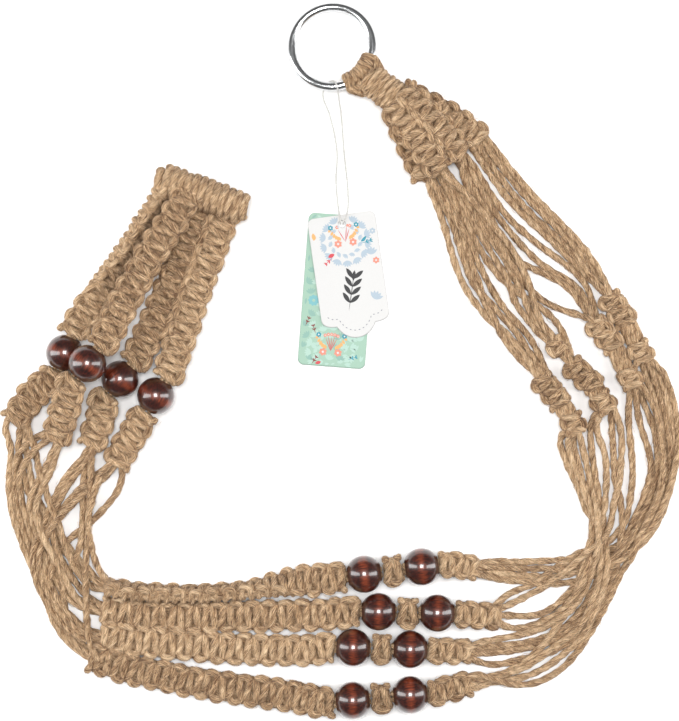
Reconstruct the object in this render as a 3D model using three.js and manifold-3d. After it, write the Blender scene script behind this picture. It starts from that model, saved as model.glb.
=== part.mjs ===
// Hanging macrame planter of jute cord with wooden beads, lying slack on a flat surface.
// Millimetres, +Z up, origin under the middle of its outline, on the surface.
// Four strands run side by side from the steel ring, through the neck, the free cords and
// their knots, the beaded middle, the long braids and the basket, to the gathered base.
import * as THREE from 'three';
import Module from 'manifold-3d';
import { mergeVertices } from 'three/addons/utils/BufferGeometryUtils.js';

const wasm = await Module();
wasm.setup();

// ---- driving dimensions ----
const GAP = 0.35; // between pieces that touch
const CORD = 3.8; // one jute cord
const BUNDLE = 2 * CORD; // a strand's four cords lying free
const BRAID = { width: 13.2, thick: 9 }; // square-knot braid
const NECK_BRAID = { width: 9.4, thick: 9 };
const KNOT = { width: 12, thick: 9.2, length: 16 };
const LOW_KNOT = { width: 11, thick: 9.2, length: 9 };
const SPACER = { width: 14, thick: 9.2 };
const BEAD = { radius: 10.3, bore: 4.3, core: 3.9, height: 10.4 };
const RING = { radius: 22.5, wire: 2.5, x: -4.1, y: 173.4, tilt: 7, entry: -42.6 };
const LOOPS = { outer: 6.3, bore: 3, spread: 26 }; // cords over the ring, spread in degrees
const WRAP_WIDTH = 19.4;
const BAR_WIDTH = 17; // knotted bar under the basket
const STRING_WIDTH = 0.9;
const TAG = { x: 1.4, y: 75.2, hole: 2, thick: 0.5, rim: 5.2, half: 19 };

const JUTE = 0xb8936a;
const MAHOGANY = 0x4a1a12;
const root = new THREE.Group();

// ---- shared makers ----
function addNode(name, geometry, color, roughness = 0.9, metalness = 0, parent = root) {
  const material = new THREE.MeshStandardMaterial({ color, roughness, metalness });
  const mesh = new THREE.Mesh(geometry, material);
  mesh.name = name;
  parent.add(mesh);
  return mesh;
}

// A route whose section stays level, turned about the route by the rolls along it, in degrees.
class LevelRoute extends THREE.CatmullRomCurve3 {
  constructor(points, rolls = [0]) {
    super(points.map((p) => new THREE.Vector3(...p)));
    this.rolls = rolls;
  }

  rollAt(u) {
    const place = u * (this.rolls.length - 1);
    const before = Math.floor(place);
    const after = Math.min(before + 1, this.rolls.length - 1);
    const roll = THREE.MathUtils.lerp(this.rolls[before], this.rolls[after], place - before);
    return THREE.MathUtils.degToRad(roll);
  }

  computeFrenetFrames(segments) {
    const frames = { tangents: [], normals: [], binormals: [] };
    const up = new THREE.Vector3(0, 0, 1);
    for (let i = 0; i <= segments; i++) {
      const tangent = this.getTangentAt(i / segments);
      const side = new THREE.Vector3().crossVectors(up, tangent).normalize();
      side.applyAxisAngle(tangent, this.rollAt(i / segments));
      frames.tangents.push(tangent);
      frames.normals.push(side);
      frames.binormals.push(new THREE.Vector3().crossVectors(tangent, side));
    }
    return frames;
  }
}

// An eight-sided section with blunt corners.
function bluntSection(width, thick) {
  const [w, t] = [width / 2, thick / 2];
  const c = Math.min(w, t) * 0.58;
  return new THREE.Shape([
    new THREE.Vector2(w, c - t), new THREE.Vector2(w, t - c), new THREE.Vector2(w - c, t),
    new THREE.Vector2(c - w, t), new THREE.Vector2(-w, t - c), new THREE.Vector2(-w, c - t),
    new THREE.Vector2(c - w, -t), new THREE.Vector2(w - c, -t),
  ]);
}

function roundSection(radius, sides = 8) {
  const corners = [];
  for (let i = 0; i < sides; i++) {
    const angle = (i / sides) * 2 * Math.PI;
    corners.push(new THREE.Vector2(radius * Math.cos(angle), radius * Math.sin(angle)));
  }
  return new THREE.Shape(corners);
}

function sweep(section, path, steps) {
  return new THREE.ExtrudeGeometry(section, { extrudePath: path, steps, bevelEnabled: false });
}

function braid(points, steps, size = BRAID, rolls = [0]) {
  return sweep(bluntSection(size.width, size.thick), new LevelRoute(points, rolls), steps);
}

function bundle(points, steps) {
  return sweep(roundSection(BUNDLE / 2), new LevelRoute(points), steps);
}

function core(from, to) {
  return sweep(roundSection(BEAD.core), new LevelRoute([from, to]), 1);
}

function asSolid(geometry) {
  const bare = geometry.clone();
  bare.deleteAttribute('normal');
  bare.deleteAttribute('uv');
  const merged = mergeVertices(bare, 1e-4);
  const mesh = new wasm.Mesh({
    numProp: 3,
    vertProperties: new Float32Array(merged.attributes.position.array),
    triVerts: new Uint32Array(merged.index.array),
  });
  return new wasm.Manifold(mesh);
}

// Several overlapping shapes as one solid.
function join(...geometries) {
  let solid = asSolid(geometries[0]);
  for (const geometry of geometries.slice(1)) solid = solid.add(asSolid(geometry));
  const mesh = solid.getMesh();
  const joined = new THREE.BufferGeometry();
  joined.setAttribute('position', new THREE.BufferAttribute(new Float32Array(mesh.vertProperties), 3));
  joined.setIndex(new THREE.BufferAttribute(new Uint32Array(mesh.triVerts), 1));
  joined.computeVertexNormals();
  return joined;
}

// The point a distance along a heading from a place.
function along(place, heading, distance) {
  return place.map((value, i) => value + heading[i] * distance);
}

function headingOf(from, to) {
  const heading = new THREE.Vector3(...to).sub(new THREE.Vector3(...from)).normalize();
  return heading.toArray();
}

// ---- beads ----
const BEAD_HALF = Math.sqrt(BEAD.radius ** 2 - BEAD.bore ** 2); // centre to the rim of the bore
const BEAD_END = BEAD_HALF + GAP;
const LEAD = 3; // a braid runs straight this far beside a bead

function beadGeometry() {
  const rim = Math.atan2(BEAD_HALF, BEAD.bore);
  const arcs = 8;
  const profile = [];
  for (let i = 0; i <= arcs; i++) {
    const angle = -rim + (i / arcs) * 2 * rim;
    profile.push(new THREE.Vector2(BEAD.radius * Math.cos(angle), BEAD.radius * Math.sin(angle)));
  }
  profile.push(profile[0].clone());
  return new THREE.LatheGeometry(profile, 16);
}

function addBead(name, place, heading) {
  const bead = addNode(name, beadGeometry(), MAHOGANY, 0.25);
  bead.position.set(...place);
  bead.quaternion.setFromUnitVectors(new THREE.Vector3(0, 1, 0), new THREE.Vector3(...heading));
}

// ---- steel ring and the cords that hold it ----
const entry = THREE.MathUtils.degToRad(RING.entry);
const tilt = THREE.MathUtils.degToRad(RING.tilt);
const ringFrame = new THREE.Group();
ringFrame.position.set(RING.x, RING.y, RING.wire + RING.radius * Math.sin(tilt) + 0.05);
ringFrame.quaternion.setFromAxisAngle(
  new THREE.Vector3(-Math.sin(entry), Math.cos(entry), 0), -tilt);
root.add(ringFrame);
const ringGeometry = new THREE.TorusGeometry(RING.radius, RING.wire, 8, 40);
addNode('hanging_ring', ringGeometry, 0xb4b8ba, 0.2, 1, ringFrame);

function loopsGeometry() {
  const section = roundSection(LOOPS.outer, 10);
  section.holes.push(new THREE.Path(roundSection(LOOPS.bore).getPoints()));
  const spread = THREE.MathUtils.degToRad(LOOPS.spread);
  const arc = [];
  for (let i = -3; i <= 3; i++) {
    const angle = entry + (i / 3) * spread;
    arc.push([RING.radius * Math.cos(angle), RING.radius * Math.sin(angle), 0]);
  }
  return sweep(section, new LevelRoute(arc), 8);
}
addNode('ring_loops', loopsGeometry(), JUTE, 0.9, 0, ringFrame);

const wrapRoute = [[18.9, 153.4, 9.9], [32.2, 143.5, 9.9]];
addNode('neck_wrap', sweep(roundSection(WRAP_WIDTH / 2, 12), new LevelRoute(wrapRoute), 2), JUTE);

// ---- neck: four short braids, two low and two high, fanning out ----
const neckRoutes = [
  [[31.3, 137.7, 5], [39, 120.4, 5], [46.9, 102.7, 5]],
  [[30.8, 138.1, 14.7], [42.4, 123, 14.7], [54.7, 106, 14.7]],
  [[36.8, 145.9, 14.7], [52, 130.4, 14.6], [65.8, 114.9, 9.5]],
  [[36.3, 146.8, 5], [56.9, 136.6, 5], [76.9, 122.7, 5]],
];
neckRoutes.forEach((route, i) => addNode(`neck_braid_${i + 1}`, braid(route, 6, NECK_BRAID), JUTE));

// ---- upper free cords, each strand's four side by side as one bundle ----
const upperRoutes = [
  [[47.8, 101, 4.8], [58.6, 73.8, 4.2], [68.5, 48.3, 4.2], [84.6, 26.1, 4.2], [99.1, 5, 4.3],
    [112, -10.5, 4.8]],
  [[55.9, 104.1, 14.5], [68, 79.9, 8], [83.5, 53.8, 4.3], [100.2, 31.6, 4.2], [115.2, 13.9, 4.3],
    [129, -2.3, 4.8]],
  [[66.8, 113, 8.8], [80.2, 87.5, 4.6], [95.7, 64.3, 4.2], [111.8, 48.3, 4.2], [127.9, 34.4, 4.3],
    [141.8, 21.4, 4.8]],
  [[78.2, 121.6, 4.8], [93.5, 106, 4.2], [110.2, 87.1, 4.2], [126.3, 67.2, 4.2],
    [140.1, 49.4, 4.3], [149.2, 35.4, 4.8]],
];
upperRoutes.forEach((route, i) => addNode(`upper_cords_${i + 1}`, bundle(route, 11), JUTE));

// ---- knots on the free cords: a double knot, then a single one lower on each strand ----
const knotPlaces = [
  { at: [117.9, -17.8, 4.9], heading: [0.62, -0.78, 0] },
  { at: [135.7, -8.9, 4.9], heading: [0.72, -0.7, 0] },
  { at: [147.7, 13.7, 4.9], heading: [0.62, -0.78, 0] },
  { at: [155, 27.5, 4.9], heading: [0.57, -0.82, 0] },
];
const lowKnotPlaces = [
  { at: [129.6, -35.5, 4.9], heading: [0.42, -0.91, 0] },
  { at: [146.2, -23.9, 4.9], heading: [0.6, -0.8, 0] },
  { at: [161.1, -10.2, 4.9], heading: [0.5, -0.866, 0] },
  { at: [167, 4.2, 4.9], heading: [0.5, -0.866, 0] },
];

function knotBlock(place, size) {
  const ends = [-0.5, 0.5].map((k) => along(place.at, place.heading, k * size.length));
  return braid(ends, 1, size);
}

knotPlaces.forEach((place, i) => {
  addNode(`double_knot_${i + 1}`, knotBlock(place, KNOT), JUTE);
  const low = lowKnotPlaces[i];
  const start = along(place.at, place.heading, KNOT.length / 2 + 5 * GAP);
  const link = sweep(roundSection(CORD * 0.9), new LevelRoute([start, low.at]), 1);
  addNode(`single_knot_${i + 1}`, join(knotBlock(low, LOW_KNOT), link), JUTE);
});

// ---- middle free cords; the fourth strand's pass under the other three ----
const middleRoutes = [
  [[132.2, -41.3, 4.6], [134, -58.8, 4.4], [138.4, -78.3, 6], [140.8, -94.9, 11], [140.6, -111.6, 12.5],
    [132.8, -125.6, 12.3], [117.9, -134.9, 5.6], [102, -140, 5.8], [88, -142.6, 7.2]],
  [[150.1, -29.6, 4.6], [153.5, -50.5, 4.3], [154.6, -72.7, 5], [151, -94.9, 11], [148.8, -112.7, 12.5],
    [146, -124, 12.4], [141, -137, 6.5], [126.9, -151.5, 4.3], [105.7, -158.9, 4.8], [87, -161.9, 6],
    [71.4, -161.8, 7.2]],
  [[164.3, -15.6, 4.6], [167.6, -39.4, 4.3], [168.4, -67.2, 5], [162.6, -92.1, 12], [157, -112.7, 12.5],
    [154, -127, 10.5], [148.5, -142, 5], [136.5, -162, 4.3], [115.7, -176.9, 4.3], [91.9, -182.4, 5.5],
    [71.6, -179.9, 7.2]],
  [[170, -1.7, 4.6], [180, -22.8, 4.3], [184.2, -50.5, 4.3], [182.3, -75.5, 4.3], [173.3, -96.9, 4.2],
    [160.1, -113.7, 4.2], [144.6, -120.4, 4.2], [122.4, -120.4, 4.2], [100.2, -117.9, 4.8],
    [87, -116.3, 6], [74.4, -115.6, 7.3]],
];
middleRoutes.forEach((route, i) => addNode(`middle_cords_${i + 1}`, bundle(route, 18), JUTE));

// ---- beaded middle: per strand a knot, a bead, a spacer knot and a bead ----
const beadedStrands = [
  { inner: [13.7, -118.9], outer: [45.4, -114.8], knotEnd: [73, -115.4] },
  { inner: [21.6, -139.7], outer: [54.1, -140.4], knotEnd: [86.3, -142.5] },
  { inner: [7.5, -159.5], outer: [39.1, -160.5], knotEnd: [69.7, -161.7] },
  { inner: [7.3, -188.7], outer: [39.1, -185.6], knotEnd: [69.8, -180.2] },
];
const braidStarts = beadedStrands.map((strand, i) => {
  const inner = [...strand.inner, BEAD.height];
  const outer = [...strand.outer, BEAD.height];
  const heading = headingOf(inner, outer);
  addBead(`outer_bead_${i + 1}`, outer, heading);
  addBead(`inner_bead_${i + 1}`, inner, heading);
  const knotRoute = [along(outer, heading, BEAD_END), along(outer, heading, BEAD_END + LEAD)];
  const knot = braid([...knotRoute, [...strand.knotEnd, 7.4]], 4, KNOT);
  const spacer = braid([along(inner, heading, BEAD_END), along(outer, heading, -BEAD_END)], 1, SPACER);
  const through = core(along(inner, heading, -BEAD_HALF), along(outer, heading, BEAD_END + 1));
  addNode(`bead_strand_${i + 1}`, join(knot, spacer, through), JUTE);
  return [BEAD_END + GAP, BEAD_END + GAP + LEAD].map((reach) => along(inner, heading, -reach));
});

// ---- long braids; the first turns onto its edge ----
const longRoutes = [
  [[-15.8, -122.4, 8.8], [-34.7, -125.6, 8], [-53, -128.3, 8], [-71.9, -130, 8], [-94.1, -130.2, 8],
    [-113.5, -129, 8], [-124, -127.4, 8]],
  [[0.3, -140.8, 7.5], [-20.8, -142.1, 5], [-41.9, -142.5, 4.8], [-60.8, -142.8, 4.8],
    [-86.3, -143.1, 4.8], [-105.2, -142.4, 4.8], [-126.3, -140, 5]],
  [[-16.4, -161.2, 7], [-26.9, -161.5, 5], [-56.9, -160.6, 4.8], [-86.3, -158.3, 4.8],
    [-110.7, -156.8, 4.8], [-126.3, -154.4, 5]],
  [[-23, -187.4, 6.5], [-41.9, -184.8, 5], [-71.9, -180.9, 4.8], [-94.1, -176.6, 4.8],
    [-116.3, -171.9, 4.8], [-133.5, -166.6, 5]],
];
const longRolls = [[0, 0, 60, 85, 85, 85, 85, 85], [0], [0], [0]];
longRoutes.forEach((route, i) => {
  const points = [...braidStarts[i], ...route];
  addNode(`long_braid_${i + 1}`, braid(points, 14, BRAID, longRolls[i]), JUTE);
});

// ---- free cords that carry the basket, from the long braids up to the lower basket braids ----
const crossingRoutes = [
  [[-124.5, -60.5, 4.6], [-126, -74, 4.3], [-135, -90.5, 4.3], [-140.2, -106, 4.3],
    [-137, -118.3, 4.8], [-127.6, -126.3, 7]],
  [[-138.2, -48.9, 4.6], [-146.8, -67.2, 4.3], [-156, -89.4, 4.3], [-154.6, -112.7, 4.3],
    [-144.3, -130, 4.3], [-130, -138.3, 4.6]],
  [[-157.6, -45.8, 6.4], [-165.1, -64.4, 4.4], [-170.1, -86.6, 4.3], [-166.6, -111.6, 4.3],
    [-156.7, -134.8, 4.3], [-144, -148.4, 4.3], [-130, -153.6, 4.6]],
  [[-181.6, -37.5, 4.6], [-183.1, -56.1, 4.3], [-183.4, -78.3, 4.3], [-179, -103.2, 4.3],
    [-169.3, -132, 4.3], [-158, -152.5, 4.3], [-147, -161, 4.3], [-137, -165, 4.6]],
];
crossingRoutes.forEach((route, i) => addNode(`crossing_cords_${i + 1}`, bundle(route, 13), JUTE));

// ---- basket: lower braid, bead and upper braid on each strand; the second lies on its neighbours ----
const basketStrands = [
  { bead: [-151.8, 3.3, BEAD.height], heading: [-0.39, -0.92, 0], rolls: [0, 0, 50, 75, 75, 75],
    lower: [[-168.6, -18.3, 5.5], [-180, -33.2, 4.8]],
    upper: [[-139, 28, 7.8], [-122.9, 53.8, 7.8], [-99.8, 89, 7.8]] },
  { bead: [-137.6, -2.5, 24.8], heading: [-0.61, -0.79, 0], rolls: [0],
    lower: [[-150.7, -27.2, 15.5], [-156.8, -43.3, 7.2]],
    upper: [[-107.4, 50.5, 18.5], [-86.5, 84.6, 14.5]] },
  { bead: [-121.3, -11.1, BEAD.height], heading: [-0.64, -0.77, 0], rolls: [0],
    lower: [[-132.4, -32.7, 5.5], [-137.4, -46.6, 4.8]],
    upper: [[-96.8, 33.9, 5.2], [-79.4, 82.1, 5]] },
  { bead: [-101.6, -20.3, BEAD.height], heading: [-0.51, -0.86, 0], rolls: [0],
    lower: [[-115.2, -42.7, 5.5], [-123.5, -57.1, 4.8]],
    upper: [[-80.6, 33.9, 5.2], [-64.6, 76.7, 5]] },
];
basketStrands.forEach((strand, i) => {
  addBead(`basket_bead_${i + 1}`, strand.bead, strand.heading);
  const lowRoute = [BEAD_END, BEAD_END + LEAD].map((d) => along(strand.bead, strand.heading, d));
  const low = braid([...lowRoute, ...strand.lower], 7);
  const through = core(
    along(strand.bead, strand.heading, BEAD_END + 1), along(strand.bead, strand.heading, -BEAD_HALF));
  addNode(`lower_basket_braid_${i + 1}`, join(low, through), JUTE);
  const highRoute = [BEAD_END + GAP, BEAD_END + GAP + LEAD].map(
    (d) => along(strand.bead, strand.heading, -d));
  const high = braid([...highRoute, ...strand.upper], 10, BRAID, strand.rolls);
  addNode(`upper_basket_braid_${i + 1}`, high, JUTE);
});

// ---- knotted bar that gathers the four strands under the basket ----
const barRoute = new LevelRoute([[-98, 100.2, 8.7], [-53.6, 84.1, 8.7]]);
addNode('base_knot', sweep(bluntSection(BAR_WIDTH, BAR_WIDTH), barRoute, 2), JUTE);

// ---- paper tags on a thread that is looped round the ring ----
const stringRoute = [
  [0.6, 75.2, 0.9], [0.6, 75.5, 2.1], [0.5, 77, 2.7], [-0.8, 85.5, 2.3], [-1.9, 99.3, 1.2], [-1.4, 116, 0.9],
  [-5.3, 135.4, 1.2], [-9, 146, 2.2], [-9.2, 152.4, 2.9], [-7.6, 157, 5.5], [-4.7, 158.1, 9],
  [-1.9, 155.8, 10.9], [-0.8, 151, 11.2], [-0.3, 146, 9.5], [0.8, 137.1, 3], [2.5, 116, 0.9],
  [4.7, 93.8, 1.4], [4.7, 83.8, 2.4], [3.4, 78.4, 2.7],
  [2.2, 76.4, 2.7], [2.1, 75.5, 2.1], [2.1, 75.2, 0.9],
];
const stringPath = new THREE.CatmullRomCurve3(stringRoute.map((p) => new THREE.Vector3(...p)));
addNode('tag_string', sweep(roundSection(STRING_WIDTH / 2, 6), stringPath, 60), 0xf2f0ea);

function tagFrame(turn, height) {
  const frame = new THREE.Group();
  frame.position.set(TAG.x, TAG.y, height);
  frame.rotation.z = THREE.MathUtils.degToRad(turn);
  root.add(frame);
  return frame;
}

function tagGeometry(shape) {
  const hole = new THREE.Path();
  hole.absarc(0, 0, TAG.hole, 0, 2 * Math.PI, true);
  shape.holes.push(hole);
  return new THREE.ExtrudeGeometry(shape, { depth: TAG.thick, curveSegments: 5, bevelEnabled: false });
}

function backTagShape() {
  const [half, top, low, corner] = [TAG.half - 0.2, TAG.rim, -79.8, 3.5];
  const shape = new THREE.Shape();
  shape.moveTo(-half, low + corner);
  shape.absarc(corner - half, low + corner, corner, Math.PI, 1.5 * Math.PI);
  shape.absarc(half - corner, low + corner, corner, 1.5 * Math.PI, 2 * Math.PI);
  shape.absarc(half - corner, top - corner, corner, 0, 0.5 * Math.PI);
  shape.absarc(corner - half, top - corner, corner, 0.5 * Math.PI, Math.PI);
  return shape;
}

// A label shape: straight sides, stepped shoulders and a round foot.
function frontTagShape() {
  const [half, top, corner] = [TAG.half, TAG.rim, 3.5];
  const [shoulder, notch, foot] = [-51.5, -56.5, -63.8];
  const shape = new THREE.Shape();
  shape.moveTo(-half, shoulder);
  shape.quadraticCurveTo(-half, notch, -0.57 * half, notch);
  shape.quadraticCurveTo(-0.36 * half, foot, 0, foot);
  shape.quadraticCurveTo(0.36 * half, foot, 0.57 * half, notch);
  shape.quadraticCurveTo(half, notch, half, shoulder);
  shape.absarc(half - corner, top - corner, corner, 0, 0.5 * Math.PI);
  shape.absarc(corner - half, top - corner, corner, 0.5 * Math.PI, Math.PI);
  return shape;
}

addNode('tag_back', tagGeometry(backTagShape()), 0xa9dcc2, 0.6, 0, tagFrame(-4.4, 0.3));
addNode('tag_front', tagGeometry(frontTagShape()), 0xf6f5f2, 0.6, 0, tagFrame(8.1, 1.15));

export default root;
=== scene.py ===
"""Looks of the hanging macrame planter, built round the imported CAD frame.

Shapes are worked out in millimetres and become metres when a mesh is made.
"""

import math

import bpy
import numpy as np
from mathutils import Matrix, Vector
from mathutils.geometry import tessellate_polygon


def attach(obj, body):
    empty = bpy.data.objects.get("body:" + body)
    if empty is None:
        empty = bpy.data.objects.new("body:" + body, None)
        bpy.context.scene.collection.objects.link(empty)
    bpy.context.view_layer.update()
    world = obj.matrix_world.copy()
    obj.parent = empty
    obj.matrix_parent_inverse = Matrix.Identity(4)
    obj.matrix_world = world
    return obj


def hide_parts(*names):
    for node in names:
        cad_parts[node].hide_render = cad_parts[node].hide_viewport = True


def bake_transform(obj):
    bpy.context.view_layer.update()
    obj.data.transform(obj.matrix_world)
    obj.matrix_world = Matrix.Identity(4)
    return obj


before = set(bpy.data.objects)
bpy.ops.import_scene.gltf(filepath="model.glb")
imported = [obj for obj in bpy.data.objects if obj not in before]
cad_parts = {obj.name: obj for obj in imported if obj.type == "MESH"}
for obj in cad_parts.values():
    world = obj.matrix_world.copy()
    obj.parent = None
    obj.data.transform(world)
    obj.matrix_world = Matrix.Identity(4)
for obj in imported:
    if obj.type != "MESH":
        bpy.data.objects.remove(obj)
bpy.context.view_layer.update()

MM = 0.001
CORD = 3.8  # one jute cord, across both plies
TWIST = 17  # length in which a cord's two plies go once round
FLOOR_GAP = 0.05  # cords press flat on the floor, this far above it
UP = np.array([0.0, 0.0, 1.0])
rng = np.random.default_rng(11)


def in_scene(name, data):
    """A new object, linked into the scene."""
    made = bpy.data.objects.new(name, data)
    bpy.context.collection.objects.link(made)
    return made


# ---- camera, straight above ----
PICTURE_HEIGHT = 400.2  # height of the view at the cords, in mm
LENS, SENSOR = 100, 36
CORDS_LEVEL, VIEW_SHIFT = 6, -0.8  # height that the view is measured at, and its middle up the picture
camera = in_scene("camera", bpy.data.cameras.new("camera"))
camera.data.lens = LENS
camera.data.sensor_width = SENSOR
camera.data.sensor_fit = "AUTO"
camera.location = (0, VIEW_SHIFT * MM, (LENS / SENSOR * PICTURE_HEIGHT + CORDS_LEVEL) * MM)
camera.data.clip_start = 0.05
bpy.context.scene.camera = camera


# ---- lines and frames along them ----
def spaced(line, step):
    """The same line with points evenly spaced, about a step apart."""
    gaps = np.linalg.norm(np.diff(line, axis=0), axis=1)
    reach = np.concatenate([[0], np.cumsum(gaps)])
    at = np.linspace(0, reach[-1], max(3, int(round(reach[-1] / step)) + 1))
    return np.stack([np.interp(at, reach, line[:, k]) for k in range(3)], axis=1)


def smooth_line(points, step=1.0):
    """A smooth line through the points, as cubic pieces with centripetal spacing."""
    p = np.array(points, float)
    t = np.concatenate([[0], np.cumsum(np.sqrt(np.linalg.norm(np.diff(p, axis=0), axis=1)))])
    slope = np.gradient(p, t, axis=0)
    pieces = []
    for i in range(len(p) - 1):
        span = t[i + 1] - t[i]
        u = np.linspace(0, 1, 24, endpoint=False)[:, None]
        pieces.append(
            (2 * u**3 - 3 * u**2 + 1) * p[i]
            + (u**3 - 2 * u**2 + u) * span * slope[i]
            + (3 * u**2 - 2 * u**3) * p[i + 1]
            + (u**3 - u**2) * span * slope[i + 1]
        )
    return spaced(np.vstack([*pieces, p[-1:]]), step)


def length_of(line):
    return float(np.linalg.norm(np.diff(line, axis=0), axis=1).sum())


def unit(v):
    return v / np.maximum(np.linalg.norm(v, axis=-1, keepdims=True), 1e-9)


class Track:
    """A line with a level frame along it, turned about the line by the rolls, in degrees."""

    def __init__(self, points, rolls=(0,)):
        self.line = smooth_line(points, 0.7)
        self.tangent = unit(np.gradient(self.line, axis=0))
        side = unit(np.cross(UP, self.tangent))
        up = np.cross(self.tangent, side)
        share = np.linspace(0, 1, len(self.line))
        rolls = np.resize(rolls, max(2, len(rolls)))
        roll = np.radians(np.interp(share, np.linspace(0, 1, len(rolls)), rolls))
        cos, sin = np.cos(roll)[:, None], np.sin(roll)[:, None]
        self.side = side * cos + up * sin
        self.up = up * cos - side * sin
        gaps = np.linalg.norm(np.diff(self.line, axis=0), axis=1)
        self.reach = np.concatenate([[0], np.cumsum(gaps)])
        self.length = float(self.reach[-1])

    def place(self, s, x, z):
        """Points s along the track, x to its left and z above it."""
        def at(values):
            return np.stack([np.interp(s, self.reach, values[:, k]) for k in range(3)], axis=1)

        beyond = (s - np.clip(s, 0, self.length))[:, None]
        x, z = np.asarray(x)[:, None], np.asarray(z)[:, None]
        return at(self.line) + beyond * at(self.tangent) + x * at(self.side) + z * at(self.up)


def wander(t, size, scale=1.0):
    """A smooth random value along t, mostly within plus or minus size."""
    phases = rng.uniform(0, 2 * math.pi, 3)
    rates = np.array([0.9, 1.7, 2.9]) * scale
    return size * sum(np.sin(rate * t + phase) for rate, phase in zip(rates, phases)) / 1.8


def mesh_of(name, points, faces, material, smooth=True):
    """A mesh with one material, from points in mm."""
    mesh = bpy.data.meshes.new(name)
    mesh.from_pydata((points * MM).tolist(), [], faces)
    mesh.polygons.foreach_set("use_smooth", np.full(len(mesh.polygons), smooth))
    mesh.materials.append(material)
    return mesh


def closed_grid(rows, columns):
    """Faces of a grid of points that closes on itself both ways."""
    faces = []
    for i in range(rows):
        for j in range(columns):
            a, b = (i + 1) % rows * columns, (j + 1) % columns
            faces.append((i * columns + j, i * columns + b, a + b, a + j))
    return faces


# ---- jute cord ----
SIDES = 14
ANGLES = np.arange(SIDES) / SIDES * 2 * math.pi
PLY_ROUNDNESS, GROOVE_DEPTH = 0.8, 0.18
LOBES = 0.82 + GROOVE_DEPTH * np.abs(np.cos(ANGLES)) ** PLY_ROUNDNESS  # two plies, a groove between
RING_STEP = 0.75  # spacing of the rings of points along a jute cord
SWELL, UNEVEN, ROUGH = 1.05, 0.09, 0.025  # size of a cord, slow changes in it, and small random ones
FIBRE_LAY = 0.45  # fibres run almost straight along a cord, so they turn this much as fast as the plies
END_NARROWS, END_LENGTH = 0.5, 0.6
HAIR_FLOOR, HAIR_START = 0.15, 0.8


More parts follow.
